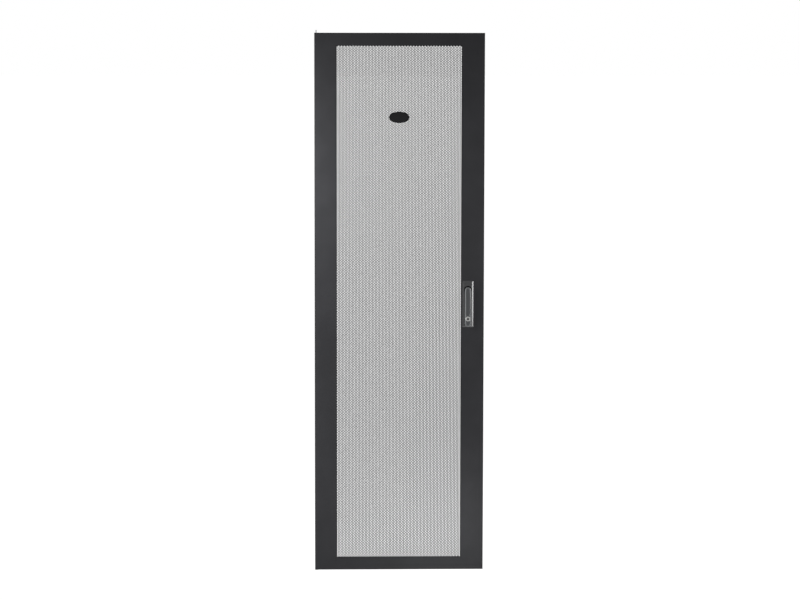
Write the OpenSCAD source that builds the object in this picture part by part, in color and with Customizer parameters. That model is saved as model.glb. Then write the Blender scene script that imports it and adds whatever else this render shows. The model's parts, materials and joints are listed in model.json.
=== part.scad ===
/* [Door sheet] */
// Width over the folded sides
door_w = 598; // [560:1:640]
// Height over the folded top and bottom
door_h = 1906; // [1700:1:2100]
// Depth from the front face to the back lips
door_d = 25; // [24:0.5:32]
// Thickness of the folded sheet
sheet_t = 1.5; // [1.2:0.1:2]
// Outside radius of every fold
fold_r = 3; // [2.2:0.1:4]
// Width of the lips turned in along the back
lip_w = 15; // [12:0.5:18]

/* [Perforated panel] */
// Plain margin beside the window on the hinge side
hinge_margin = 76; // [72:1:90]
// Plain margin beside the window on the latch side
latch_margin = 79; // [78:1:90]
// Plain margin above the window
top_margin = 43; // [43:0.5:60]
// Plain margin below the window
bottom_margin = 44.5; // [43:0.5:60]
// Thickness of the perforated sheet
panel_t = 1.2; // [0.8:0.1:1.5]
// How far the perforated sheet laps behind the frame
panel_lap = 6; // [4:0.5:6.5]
// Distance between neighbouring holes in one punched row
punch_pitch = 8.43; // [8:0.01:9]
// Distance between one punched row and the next, staggered row
punch_row = 6.66; // [6.4:0.01:7.2]
// Diameter of a punched hole
punch_d = 5.5; // [4.8:0.1:6.2]
// Punched holes that one modelled hole stands for, along each direction
punch_group = 5; // [4:1:8]

/* [Braces] */
// Thickness of the brace sheet
brace_t = 1.5; // [1.2:0.1:2]
// Width of the channel of each upright brace
upright_w = 18; // [14:1:20]
// Depth of the upright braces behind the front sheet
upright_d = 18; // [14:0.5:20]
// Height of the channel of each cross brace
cross_w = 16; // [12:1:18]
// Depth of the cross braces behind the front sheet
cross_d = 12; // [8:0.5:13]
// Width of each welding foot
foot_w = 5; // [4:0.5:6]

/* [Hinges] */
// Distance of the hinge axis from the hinge side's outer face
hinge_inset = 6.5; // [6.5:0.1:8]
// Distance of the hinge axis behind the front face
hinge_setback = 9; // [8.5:0.1:11]
// Diameter of the sprung pin's free end and of the rack's lower pin
hinge_d = 6; // [5:0.1:6.2]
// How far the sprung pin stands above the door
pin_out = 10; // [8:0.5:12]
// How far the sprung pin can be drawn down
pin_travel = 11; // [9:0.5:12]
// Diameter of the sprung pin inside the door
pin_body_d = 7; // [6.4:0.1:7]
// Clear height inside each hinge bracket
bracket_h = 34; // [30:1:45]
// Thickness of the hinge brackets
bracket_t = 2; // [1.5:0.1:3]
// Width of the hinge brackets
bracket_w = 27; // [24:0.5:28]
// Length of the finger tail on the sprung pin
tail_l = 24; // [18:1:28]
// Diameter of the spring's wire
wire_d = 0.9; // [0.8:0.05:0.9]
// Outside diameter of the lower bush
bush_d = 8.8; // [8.4:0.1:9]
// Diameter of the lower bush's flange
bush_flange_d = 13; // [11:0.5:13]
// Thickness of the lower bush's flange
bush_flange_t = 1.5; // [1:0.1:2]
// Length of the lower bush inside the door
bush_l = 8; // [6:0.5:12]

/* [Handle base] */
// Width of the handle base
base_w = 39; // [38:0.5:40]
// Height of the handle base
base_h = 165; // [160:1:180]
// How far the handle base stands off the front face
base_t = 4; // [3:0.25:6]
// Width of the bevel around the handle base
bevel_w = 5.3; // [4:0.1:5.5]
// Distance of the handle's middle from the latch side's outer face
handle_inset = 57; // [57:0.5:60]
// Height of the handle's middle above the door's lower edge
handle_up = 952.5; // [850:0.5:1050]
// Width of the base's body in the cut-out
body_w = 28; // [27:0.5:28.5]
// Depth of the base's body behind the front face
body_d = 7; // [6:0.5:8]
// Distance from the middle of the handle up to its spindle
spindle_up = 50; // [46:0.1:50.5]
// Radius of the round dish about the spindle
dish_r = 12.3; // [12:0.1:12.6]
// Width of the retainers that clamp the base
retainer_w = 20; // [16:1:24]
// Thickness of the retainers
retainer_t = 2; // [1.5:0.1:2.5]

/* [Lever and lock] */
// Width of the lever
lever_w = 21; // [20:0.1:22]
// Length of the lever
lever_l = 140.4; // [130:0.1:145]
// Thickness of the lever
lever_t = 13; // [12.5:0.1:15]
// Radius of the lever's long front edges
lever_edge_r = 5; // [3:0.1:6]
// Width of the groove down the lever's face
groove_w = 12.5; // [10:0.1:13.5]
// Depth of the groove down the lever's face
groove_d = 1.5; // [0.8:0.1:1.8]
// Distance of the lever's pivot in front of its back face
pivot_in = 5; // [4.8:0.1:5.5]
// Diameter of the lever's pivot pin
lever_pin_d = 5; // [4:0.1:5]
// Width of the spindle's tongue inside the lever
tongue_w = 8; // [6:0.1:9]
// Distance from the spindle down to the lock
lock_down = 101.7; // [98:0.1:106]
// Diameter of the lock's barrel
barrel_d = 17; // [15:0.1:17]
// Diameter of the lock's turning plug
plug_d = 12; // [10:0.1:12.5]
// Depth of the pocket behind the lock
pocket_d = 3.5; // [3.2:0.1:4]
// Thickness of the lock's tongue
lock_tongue_t = 1.5; // [1:0.1:1.6]

/* [Rod gear] */
// Diameter of the spindle in its bearing
spindle_d = 12; // [11.6:0.1:13]
// Side of the spindle's square end
square_w = 8; // [6:0.1:8]
// Radius at which the crank carries its two pins
crank_r = 18; // [17:0.1:19]
// Thickness of the crank
crank_t = 3; // [2:0.1:3.5]
// Diameter of the crank's pins
crank_pin_d = 6; // [5:0.1:6.5]
// Width of each rod
rod_w = 12; // [10:0.5:13]
// Thickness of each rod
rod_t = 3; // [2:0.1:3.5]
// Gap between a rod's tip and the folded edge that it reaches for
rod_tip_gap = 6; // [5:0.5:12]
// Thickness of the rod guides
guide_t = 2; // [1.5:0.1:3]

/* [Small parts] */
// Width of the oval plate on the panel
oval_w = 72; // [60:1:90]
// Height of the oval plate
oval_h = 39.5; // [30:0.5:50]
// Thickness of the oval plate at its middle
oval_t = 3.5; // [2:0.1:5]
// How far the middle of the oval plate stands out before its ends
crown = 1.6; // [0.8:0.1:2]
// Distance of the oval plate's middle below the door's upper edge
oval_down = 295; // [250:1:400]
// Diameter of the earthing stud
stud_d = 6; // [5:0.1:8]
// Length of the earthing stud
stud_l = 14; // [10:0.5:16]
// Distance of the earthing stud from the hinge side's outer face
stud_in = 130; // [60:5:250]
// Diameter of the rubber buffers
buffer_d = 10; // [8:0.5:11]
// Thickness of the rubber buffers
buffer_t = 3; // [2:0.25:5]
// Distance of each buffer from the door's upper or lower edge
buffer_in = 120; // [60:5:250]

/* [Hidden] */
$fn = 48;

// clearances
run_gap = 0.05;     // between a shaft and its bearing, on the radius
seat_gap = 0.02;    // between a pressed or clamped shaft and its hole, on the radius
slide_gap = 0.3;    // between a sliding piece and its guide
part_gap = 0.4;     // between the lever and the base that it closes on
fit_gap = 0.5;      // between the handle's body and its cut-out
over = 1;           // how far a cut runs past the faces it opens

// the door's faces, with the hinge axis along Z and its foot at the origin
left_x = -hinge_inset;
right_x = left_x + door_w;
face_y = -hinge_setback;
skin_y = face_y + sheet_t;
edge_y = face_y + fold_r;
back_y = face_y + door_d;
low_z = bush_flange_t;
high_z = low_z + door_h;

// the window and the panel behind it
win_x0 = left_x + hinge_margin;
win_x1 = right_x - latch_margin;
win_z0 = low_z + bottom_margin;
win_z1 = high_z - top_margin;
win_w = win_x1 - win_x0;
win_h = win_z1 - win_z0;
panel_back_y = skin_y + panel_t;
hole_d = punch_d * punch_group;
hole_pitch = punch_pitch * punch_group;
hole_row = punch_row * punch_group;
hole_land = (punch_pitch - punch_d) * punch_group / 2;
hole_cols = floor((win_w - hole_d - hole_land) / hole_pitch) + 1;
hole_rows = floor((win_h - hole_d - hole_land) / hole_row) + 1;

// the handle
handle_x = right_x - handle_inset;
handle_z = low_z + handle_up;
spindle_z = handle_z + spindle_up;
lock_z = spindle_z - lock_down;
base_y = face_y - base_t;
lever_back_y = base_y - part_gap;
lever_face_y = lever_back_y - lever_t;
lever_r = lever_w / 2;
lever_top_z = spindle_z + lever_r;
pivot_y = lever_back_y - pivot_in;
dish_y = pivot_y + lever_r + part_gap;
eye_r = 4.5;
lever_lift = 35;
lift_relief = 2;
body_h = base_h - 16;
body_y = face_y + body_d;
boss_y = body_y + 5;
boss_r = 10;
collar_r = 9;
collar_t = 2;
base_corner_r = 3;
retainer_screw_d = 5;
retainer_screw_up = body_h / 2 - 7.5;
retainer_land = 6;
retainer_lap = 14;

// the lock
rim_out = 0.8;
plug_out = 0.5;
pocket_y = lever_back_y - pocket_d;
pocket_w = lever_w - 4;
pocket_up = 14;
pocket_down = 10;
pocket_r = 2;
key_w = 2;
key_d = 7;
lock_tongue_y = pocket_y + slide_gap;
lock_tongue_l = pocket_w / 2 - slide_gap;
lock_tongue_r = 3;
lock_tongue_eye_r = 4;
tongue_screw_d = 3;
tongue_screw_l = 4;

// the rod gear
crank_y = boss_y + slide_gap;
crank_arm = crank_r * sqrt(0.5);
crank_eye_r = crank_pin_d / 2 + 4;
crank_rivet_r = crank_pin_d / 2 - 1;
crank_pin_out = 0.6;
crank_screw_d = 5;
crank_screw_l = 11;
rod_y = crank_y + crank_t + slide_gap;
rod_eye_wall = 3;
rod_lost_motion = crank_r * 0.03 + 0.25;
slot_h = crank_pin_d + 2 * rod_lost_motion;
slot_w = crank_r - crank_arm + crank_pin_d + 2 * slide_gap;
rod_eye_x = (crank_arm + crank_r) / 2;
rod_eye_w = slot_w + 2 * rod_eye_wall;
rod_x = rod_eye_x - (rod_eye_w - rod_w) / 2;
rod_top_z = high_z - sheet_t - rod_tip_gap;
rod_bottom_z = low_z + sheet_t + rod_tip_gap;
guide_wall = 3;
guide_foot = 16;
guide_shares = [0.35, 0.88];

// the sprung pin
pin_gap = 0.15;
plate_z = high_z - sheet_t - bracket_t;
bracket_in_z = plate_z - bracket_h;
bracket_y1 = 8;
clip_t = 1;
clip_r = 4.6;
clip_z = plate_z - slide_gap - clip_t;
groove_r = pin_body_d / 2 - 0.6;
pin_shoulder_z = high_z + 0.5;
pin_chamfer = 1;
tail_z = bracket_in_z - bracket_t - slide_gap - pin_travel;
coil_r = pin_body_d / 2 + 0.25 + wire_d / 2;
coil_turns = 9;
coil_sides = 8;
coil_steps = 16;

// prisms and cylinders along each axis
module along_x(l) rotate([90, 0, 90]) linear_extrude(l) children();
module along_y(l) translate([0, l, 0]) rotate([90, 0, 0]) linear_extrude(l) children();
module bar_x(r, l) rotate([0, 90, 0]) cylinder(r = r, h = l);
module bar_y(r, l) rotate([-90, 0, 0]) cylinder(r = r, h = l);

// a rectangle with its middle at the origin and true round corners
module round_rect(w, h, r) {
    square([w - 2 * r, h], center = true);
    square([w, h - 2 * r], center = true);
    for (sx = [-1, 1], sy = [-1, 1])
        translate([sx * (w / 2 - r), sy * (h / 2 - r)]) circle(r = r);
}

// an upright slot with round ends, h high over all
module stadium(w, h) {
    square([w, h - w], center = true);
    for (s = [-1, 1]) translate([0, s * (h - w) / 2]) circle(d = w);
}

// a hexagon, d across its flats
module hexagon(d) circle(d = d / cos(30), $fn = 6);

// the block that one sheet, folded on all four sides, fills; each fold has the radius r
module folded_block(inset, r) {
    w = door_w - 2 * inset;
    d = door_d - 2 * inset;
    h = door_h - 2 * inset;
    intersection() {
        translate([left_x + door_w / 2, face_y + door_d / 2, low_z + inset])
            linear_extrude(h) round_rect(w, d, r);
        translate([left_x + inset, face_y + door_d / 2, low_z + door_h / 2])
            along_x(w) round_rect(d, h, r);
    }
}

// shell of the door: front, four sides and the lips along the back
module door_shell() {
    difference() {
        folded_block(0, fold_r);
        folded_block(sheet_t, fold_r - sheet_t);
        // between the lips
        translate([left_x + lip_w, back_y - sheet_t - over, low_z + lip_w])
            cube([door_w - 2 * lip_w, sheet_t + 2 * over, door_h - 2 * lip_w]);
    }
}

// front of the door as far back as its folded rim, with the window and the handle's cut-out
module front_sheet() {
    color("#3b3c40") difference() {
        intersection() {
            door_shell();
            translate([left_x - over, face_y - over, low_z - over])
                cube([door_w + 2 * over, edge_y - face_y + over, door_h + 2 * over]);
        }
        translate([win_x0, face_y - over, win_z0]) cube([win_w, sheet_t + 2 * over, win_h]);
        translate([handle_x, face_y - over, handle_z]) along_y(sheet_t + 2 * over)
            round_rect(body_w + 2 * fit_gap, body_h + 2 * fit_gap, base_corner_r);
    }
}

// angle between the given widths and heights, welded behind the front's rim and ground flush
module edge_angle(x0, x1, z0, z1) {
    intersection() {
        door_shell();
        translate([x0, edge_y, z0]) cube([x1 - x0, back_y - edge_y + over, z1 - z0]);
    }
}

// it guides the sprung pin
module top_edge() {
    color("#3b3c40") difference() {
        edge_angle(left_x - over, right_x + over, high_z - lip_w, high_z + over);
        translate([0, 0, high_z - sheet_t - over])
            cylinder(r = pin_body_d / 2 + pin_gap, h = sheet_t + 2 * over);
    }
}

// it holds the bush
module bottom_edge() {
    color("#3b3c40") difference() {
        edge_angle(left_x - over, right_x + over, low_z - over, low_z + lip_w);
        translate([0, 0, low_z - over]) cylinder(d = bush_d + 2 * seat_gap, h = sheet_t + 2 * over);
    }
}

module hinge_edge() {
    color("#3b3c40") edge_angle(left_x - over, left_x + lip_w, low_z + lip_w, high_z - lip_w);
}

module latch_edge() {
    color("#3b3c40") edge_angle(right_x - lip_w, right_x + over, low_z + lip_w, high_z - lip_w);
}

// sheet with staggered rows of round holes, welded behind the window
module perforated_panel() {
    color("#34353a") translate([win_x0 + win_w / 2, skin_y, win_z0 + win_h / 2]) along_y(panel_t)
        difference() {
            square([win_w + 2 * panel_lap, win_h + 2 * panel_lap], center = true);
            for (row = [0 : hole_rows - 1], col = [0 : hole_cols - 1 - row % 2])
                translate([(col - (hole_cols - 1 - row % 2) / 2) * hole_pitch,
                           (row - (hole_rows - 1) / 2) * hole_row])
                    circle(d = hole_d);
        }
}

// section of a channel with two welding feet; its feet lie at y = 0
module channel_section(w, d) {
    for (s = [-1, 1]) {
        translate([s * (w / 2 - brace_t / 2), d / 2]) square([brace_t, d], center = true);
        translate([s * (w + foot_w) / 2, brace_t / 2]) square([foot_w, brace_t], center = true);
    }
    translate([0, d - brace_t / 2]) square([w, brace_t], center = true);
}

// upright brace beside the window
module upright(x) {
    translate([x, skin_y, win_z0 - panel_lap]) linear_extrude(win_h + 2 * panel_lap)
        channel_section(upright_w, upright_d);
}

module hinge_upright() {
    color("#303135") upright(win_x0 - panel_lap - fit_gap - foot_w - upright_w / 2);
}

module latch_upright() {
    color("#303135") upright(right_x - fold_r - fit_gap - foot_w - upright_w / 2);
}

// cross brace behind the plain strip above or below the window
module cross_brace(z) {
    translate([left_x + bracket_w + sheet_t + 2 * fit_gap, skin_y, z])
        along_x(door_w - bracket_w - sheet_t - fold_r - 3 * fit_gap)
            rotate(-90) mirror([1, 0]) channel_section(cross_w, cross_d);
}

module upper_cross_brace() {
    color("#303135") cross_brace((win_z1 + panel_lap + high_z - sheet_t) / 2);
}

module lower_cross_brace() {
    color("#303135") cross_brace((win_z0 - panel_lap + low_z + sheet_t) / 2);
}

// U-shaped bracket in the hinge side's corner; it opens to the back and clears the folds
module hinge_bracket(z0, h) {
    intersection() {
        translate([left_x + sheet_t, skin_y, z0]) union() {
            cube([bracket_w, bracket_t, h]);
            for (z = [0, h - bracket_t]) translate([0, 0, z]) cube([bracket_w, bracket_y1 - skin_y, bracket_t]);
        }
        folded_block(sheet_t, fold_r);
    }
}

module upper_hinge_bracket() {
    color("#8d9094") difference() {
        hinge_bracket(bracket_in_z - bracket_t, bracket_h + 2 * bracket_t);
        translate([0, 0, bracket_in_z - bracket_t - over])
            cylinder(r = pin_body_d / 2 + pin_gap, h = bracket_h + 2 * bracket_t + 2 * over);
    }
}

module lower_hinge_bracket() {
    z0 = low_z + sheet_t;
    color("#8d9094") difference() {
        hinge_bracket(z0, bracket_h + 2 * bracket_t);
        translate([0, 0, z0 - over]) cylinder(d = bush_d + 2 * seat_gap, h = bracket_t + 2 * over);
    }
}

// pin with a tapered tip, a shoulder, a groove for its clip and a bent finger tail
module hinge_pin() {
    tip_r = hinge_d / 2;
    body_r = pin_body_d / 2;
    chamfer_z = high_z + pin_out - pin_chamfer;
    color("#c6c8ca") {
        difference() {
            translate([0, 0, tail_z]) cylinder(r = body_r, h = pin_shoulder_z - tail_z);
            translate([0, 0, clip_z]) difference() {
                cylinder(r = body_r + over, h = clip_t);
                cylinder(r = groove_r, h = clip_t);
            }
        }
        translate([0, 0, pin_shoulder_z]) cylinder(r = tip_r, h = chamfer_z - pin_shoulder_z);
        translate([0, 0, chamfer_z]) cylinder(r1 = tip_r, r2 = tip_r - pin_chamfer, h = pin_chamfer);
        translate([0, 0, tail_z]) sphere(r = body_r);
        translate([0, 0, tail_z]) bar_x(body_r, tail_l);
        translate([tail_l, 0, tail_z]) sphere(r = body_r);
    }
}

// open ring snapped into the pin's groove
module hinge_pin_clip() {
    color("#b0b3b6") translate([0, 0, clip_z]) linear_extrude(clip_t - seat_gap) difference() {
        circle(r = clip_r);
        circle(r = groove_r + seat_gap);
        translate([0, -groove_r]) square([clip_r + over, 2 * groove_r]);
    }
}

// centre of the spring's wire after t turns, and the ring of points about it
function coil_rise(t) = bracket_in_z + wire_d / 2 + t / coil_turns * (clip_z - bracket_in_z - wire_d);
function coil_point(t, a) = [(coil_r + wire_d / 2 * cos(a)) * cos(360 * t),
                             (coil_r + wire_d / 2 * cos(a)) * sin(360 * t),
                             coil_rise(t) + wire_d / 2 * sin(a)];

// spring that pushes the pin's clip up
module hinge_spring() {
    rings = coil_turns * coil_steps;
    points = [for (i = [0 : rings], k = [0 : coil_sides - 1])
        coil_point(i / coil_steps, 360 * k / coil_sides)];
    sides = [for (i = [0 : rings - 1], k = [0 : coil_sides - 1])
        let (a = i * coil_sides + k, b = i * coil_sides + (k + 1) % coil_sides)
        [a, a + coil_sides, b + coil_sides, b]];
    ends = [[for (k = [0 : coil_sides - 1]) k],
            [for (k = [coil_sides - 1 : -1 : 0]) rings * coil_sides + k]];
    color("#9ea2a6") polyhedron(points, concat(sides, ends));
}

// flanged bush that turns on the rack's own pin
module lower_hinge_bush() {
    color("#ece9e0") difference() {
        union() {
            cylinder(d = bush_flange_d, h = bush_flange_t);
            cylinder(d = bush_d, h = bush_flange_t + bush_l);
        }
        translate([0, 0, -over]) cylinder(r = hinge_d / 2 + run_gap, h = bush_flange_t + bush_l + 2 * over);
    }
}

// section that is w wide at its back; its flanks stand straight as far as edge and then slope to the front
function bevelled_section(w, t, bevel, edge) = [
    [-w / 2, 0], [w / 2, 0], [w / 2, -edge],
    [w / 2 - bevel, -t], [bevel - w / 2, -t], [-w / 2, -edge]];

// a plate that narrows on all four sides from w by h to its front
module bevelled_plate(w, h, t, bevel, edge) {
    intersection() {
        translate([0, 0, -h / 2]) linear_extrude(h) polygon(bevelled_section(w, t, bevel, edge));
        translate([-w / 2, 0, 0]) along_x(w)
            polygon([for (p = bevelled_section(h, t, bevel, edge)) [p.y, p.x]]);
        translate([0, -t, 0]) along_y(t) round_rect(w, h, base_corner_r);
    }
}

// bevelled plate, body in the cut-out, dish about the spindle and the spindle's bearing
module handle_base() {
    color("#4a4c50") difference() {
        union() {
            translate([handle_x, face_y, handle_z])
                bevelled_plate(base_w, base_h, base_t, bevel_w, base_t / 4);
            translate([handle_x, base_y + base_t / 2, handle_z]) along_y(body_y - base_y - base_t / 2)
                round_rect(body_w, body_h, base_corner_r);
            translate([handle_x, dish_y, spindle_z]) bar_y(boss_r, boss_y - dish_y);
        }
        translate([handle_x, base_y - over, spindle_z]) bar_y(dish_r, dish_y - base_y + over);
        translate([handle_x, dish_y - over, spindle_z])
            bar_y(collar_r + slide_gap, collar_t + slide_gap + over);
        translate([handle_x, dish_y, spindle_z]) bar_y(spindle_d / 2 + run_gap, boss_y - dish_y + over);
        for (s = [-1, 1])
            translate([handle_x, body_y - body_d, handle_z + s * retainer_screw_up])
                bar_y(retainer_screw_d / 2 + seat_gap, body_d + over);
    }
}

// clamp that bridges from the body's back to the back of the front sheet; s is 1 above, -1 below
module retainer(s) {
    end = body_h / 2 + fit_gap + slide_gap;
    inner = retainer_screw_up - retainer_land;
    translate([handle_x, 0, handle_z]) difference() {
        translate([-retainer_w / 2, 0, 0]) along_x(retainer_w) polygon([
            [body_y, s * inner], [body_y + retainer_t, s * inner],
            [body_y + retainer_t, s * (end + retainer_t)], [skin_y + retainer_t, s * (end + retainer_t)],
            [skin_y + retainer_t, s * (end + retainer_lap)], [skin_y, s * (end + retainer_lap)],
            [skin_y, s * end], [body_y, s * end]]);
        translate([0, body_y - over, s * retainer_screw_up])
            bar_y(retainer_screw_d / 2 + slide_gap, retainer_t + 2 * over);
    }
}

module upper_retainer() {
    color("#8d9094") retainer(1);
}

module lower_retainer() {
    color("#8d9094") retainer(-1);
}

// screw with a domed head on a hexagon socket, its head at y = 0 and its shank towards the front
module socket_screw(d, l, head_d, head_t, socket) {
    rim = head_t * 0.6;
    difference() {
        union() {
            translate([0, -l, 0]) bar_y(d / 2, l);
            bar_y(head_d / 2, rim);
            translate([0, rim, 0]) rotate([-90, 0, 0])
                cylinder(d1 = head_d, d2 = head_d * 0.7, h = head_t - rim);
        }
        translate([0, head_t - rim, 0]) along_y(head_t) hexagon(socket);
    }
}

module retainer_screws() {
    color("#b0b3b6") for (s = [-1, 1])
        translate([handle_x, body_y + retainer_t, handle_z + s * retainer_screw_up])
            socket_screw(retainer_screw_d, retainer_t + body_d - 1, head_d = 9, head_t = 2.4, socket = 3);
}

// tongue, collar, round bearing and square end in one piece
module spindle() {
    tongue_h = 2 * eye_r;
    color("#9a9da1") translate([handle_x, 0, spindle_z]) difference() {
        union() {
            translate([-tongue_w / 2, pivot_y, 0]) bar_x(eye_r, tongue_w);
            translate([-tongue_w / 2, pivot_y, -eye_r]) cube([tongue_w, dish_y - pivot_y, tongue_h]);
            translate([0, dish_y, 0]) bar_y(collar_r, collar_t);
            translate([0, dish_y, 0]) bar_y(spindle_d / 2, crank_y - dish_y);
            translate([-square_w / 2, crank_y, -square_w / 2]) cube([square_w, crank_t - slide_gap, square_w]);
        }
        translate([-tongue_w / 2 - over, pivot_y, 0]) bar_x(lever_pin_d / 2 + seat_gap, tongue_w + 2 * over);
        translate([0, crank_y + crank_t - crank_screw_l - 1, 0])
            bar_y(crank_screw_d / 2 + seat_gap, crank_screw_l + 1 + over);
    }
}

// handle of a rounded bar with a grooved face; it hangs from the spindle's tongue
module lever() {
    mid_z = lever_top_z - lever_l / 2;
    mid_y = (lever_face_y + lever_back_y) / 2;
    color("#5c5f63") difference() {
        intersection() {
            translate([handle_x, mid_y - lever_t / 2, mid_z]) along_y(lever_t) stadium(lever_w, lever_l);
            // round long edges
            translate([handle_x, lever_back_y, mid_z - lever_l / 2]) linear_extrude(lever_l)
                rounded_face(lever_w, lever_t, lever_edge_r);
            // round ends, the upper one about the pivot
            translate([handle_x - lever_r, 0, 0]) along_x(lever_w) lever_side();
        }
        translate([handle_x - tongue_w / 2 - slide_gap, pivot_y, spindle_z])
            along_x(tongue_w + 2 * slide_gap) tongue_slot();
        translate([handle_x - lever_r - over, pivot_y, spindle_z])
            bar_x(lever_pin_d / 2 + run_gap, lever_w + 2 * over);
        // groove down the face, from the upper end to the lock
        translate([handle_x, lever_face_y - over, (spindle_z + lock_z) / 2 + groove_w / 4])
            along_y(groove_d + over) stadium(groove_w, lock_down + groove_w / 2);
        // lock barrel and the pocket of its tongue
        translate([handle_x, lever_face_y - over, lock_z])
            bar_y(barrel_d / 2 + seat_gap, lever_t + 2 * over);
        translate([handle_x, pocket_y, lock_z + (pocket_up - pocket_down) / 2]) along_y(pocket_d + over)
            round_rect(pocket_w, pocket_up + pocket_down, pocket_r);
    }
}

// section with a flat back at y = 0 and two round front corners
module rounded_face(w, t, r) {
    translate([-w / 2, r - t]) square([w, t - r]);
    translate([r - w / 2, -t]) square([w - 2 * r, r]);
    for (s = [-1, 1]) translate([s * (w / 2 - r), r - t]) circle(r = r);
}

// the lever from its side, as (y, z)
module lever_side() {
    end_z = lever_top_z - lever_l;
    translate([pivot_y, spindle_z]) intersection() {
        circle(r = lever_r);
        translate([lever_face_y - pivot_y, 0]) square([lever_t, lever_r]);
    }
    translate([lever_face_y, end_z + lever_edge_r]) square([lever_t, spindle_z - end_z - lever_edge_r]);
    translate([lever_face_y + lever_edge_r, end_z]) square([lever_t - lever_edge_r, lever_edge_r]);
    translate([lever_face_y + lever_edge_r, end_z + lever_edge_r]) circle(r = lever_edge_r);
}

// slot about the tongue, open behind the lever's upper end and wide enough for the lift
module tongue_slot() {
    circle(r = eye_r + slide_gap);
    translate([0, -eye_r - slide_gap]) square([lever_t, eye_r + slide_gap + lever_r + over]);
    rotate(lever_lift + lift_relief) square([lever_r, eye_r + 2 * slide_gap]);
}

module lever_pin() {
    color("#b0b3b6") translate([handle_x - lever_r + slide_gap, pivot_y, spindle_z])
        bar_x(lever_pin_d / 2, lever_w - 2 * slide_gap);
}

// ring that holds the plug; its rim stands proud of the lever
module lock_barrel() {
    front = lever_face_y - rim_out;
    color("#c9cbcd") translate([handle_x, 0, lock_z]) difference() {
        union() {
            translate([0, front + rim_out, 0]) bar_y(barrel_d / 2, pocket_y - front - rim_out);
            translate([0, front, 0]) rotate([-90, 0, 0])
                cylinder(d1 = barrel_d - 2 * rim_out, d2 = barrel_d, h = rim_out);
        }
        translate([0, front - over, 0]) bar_y(plug_d / 2 + run_gap, pocket_y - front + 2 * over);
    }
}

// turning plug with its keyway
module lock_plug() {
    front = lever_face_y - plug_out;
    color("#d6d8da") translate([handle_x, 0, lock_z]) difference() {
        translate([0, front, 0]) bar_y(plug_d / 2, lock_tongue_y - front);
        translate([-key_w / 2, front - over, -plug_d / 3]) cube([key_w, key_d + over, plug_d * 2 / 3]);
        translate([0, lock_tongue_y - tongue_screw_l, 0])
            bar_y(tongue_screw_d / 2 + seat_gap, tongue_screw_l + over);
    }
}

// tongue on the plug's end; it points up while the lock is open
module lock_tongue() {
    color("#8d9094") translate([handle_x, lock_tongue_y, lock_z]) difference() {
        along_y(lock_tongue_t) union() {
            circle(r = lock_tongue_eye_r);
            translate([-lock_tongue_r, 0]) square([2 * lock_tongue_r, lock_tongue_l - lock_tongue_r]);
            translate([0, lock_tongue_l - lock_tongue_r]) circle(r = lock_tongue_r);
        }
        translate([0, -over, 0]) bar_y(tongue_screw_d / 2 + seat_gap, lock_tongue_t + 2 * over);
    }
}

module lock_tongue_screw() {
    color("#b0b3b6") translate([handle_x, lock_tongue_y + lock_tongue_t, lock_z])
        socket_screw(tongue_screw_d, tongue_screw_l, head_d = 5.5, head_t = 1.2, socket = 2);
}

// two-armed crank on the spindle's square end; its arms slant up to the right and down to the left
module crank() {
    color("#8d9094") translate([handle_x, crank_y, spindle_z]) difference() {
        along_y(crank_t) difference() {
            union() {
                circle(r = boss_r);
                rotate(-45) stadium(2 * crank_eye_r, 2 * (crank_r + crank_eye_r));
            }
            square(square_w + 2 * seat_gap, center = true);
        }
        for (s = [-1, 1]) translate([s * crank_arm, -over, s * crank_arm])
            bar_y(crank_rivet_r + seat_gap, crank_t + 2 * over);
    }
}

// pins riveted into the crank's arms, one in each rod's slot
module crank_pins() {
    color("#b0b3b6") for (s = [-1, 1])
        translate([handle_x + s * crank_arm, crank_y, spindle_z + s * crank_arm]) {
            bar_y(crank_rivet_r, crank_t);
            translate([0, crank_t, 0]) bar_y(crank_pin_d / 2, rod_t + 2 * slide_gap + crank_pin_out);
        }
}

module crank_screw() {
    color("#b0b3b6") translate([handle_x, crank_y + crank_t, spindle_z])
        socket_screw(crank_screw_d, crank_screw_l, head_d = 10.6, head_t = 3, socket = 3);
}

// rod that reaches up by the given length from the spindle's height, right of the spindle's axis
module rod(length) {
    taper = rod_w * 0.6;
    translate([0, rod_y, 0]) along_y(rod_t) difference() {
        union() {
            translate([rod_eye_x, crank_arm]) round_rect(rod_eye_w, slot_h + 2 * rod_eye_wall, rod_eye_wall);
            translate([rod_x, 0]) polygon([
                [-rod_w / 2, crank_arm], [rod_w / 2, crank_arm],
                [rod_w / 2, length - taper], [rod_w / 5, length],
                [-rod_w / 5, length], [-rod_w / 2, length - taper]]);
        }
        translate([rod_eye_x, crank_arm]) rotate(90) stadium(slot_h, slot_w + slot_h - crank_pin_d);
    }
}

module upper_rod() {
    color("#a7aaae") translate([handle_x, 0, spindle_z]) rod(rod_top_z - spindle_z);
}

module lower_rod() {
    color("#a7aaae") translate([handle_x, 0, spindle_z]) rotate([0, 180, 0]) rod(spindle_z - rod_bottom_z);
}

// bent tab with a slot that the rod slides in; its foot is welded to the front sheet, beside the panel
module rod_guide(x, z) {
    w = rod_w + 2 * slide_gap + 2 * guide_wall;
    tab_d = rod_y + rod_t + guide_wall - skin_y;
    difference() {
        translate([x - w / 2, skin_y, z]) {
            cube([w, guide_t, guide_foot]);
            cube([w, tab_d, guide_t]);
        }
        translate([x - rod_w / 2 - slide_gap, rod_y - slide_gap, z - over])
            cube([rod_w + 2 * slide_gap, rod_t + 2 * slide_gap, guide_t + 2 * over]);
        // clear of the panel's lap
        translate([win_x1, skin_y - over, z - over])
            cube([panel_lap + slide_gap, panel_t + slide_gap + over, guide_foot + 2 * over]);
        translate([win_x1, panel_back_y, z + guide_t]) cube([panel_lap + slide_gap, guide_t, guide_foot]);
    }
}

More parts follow.
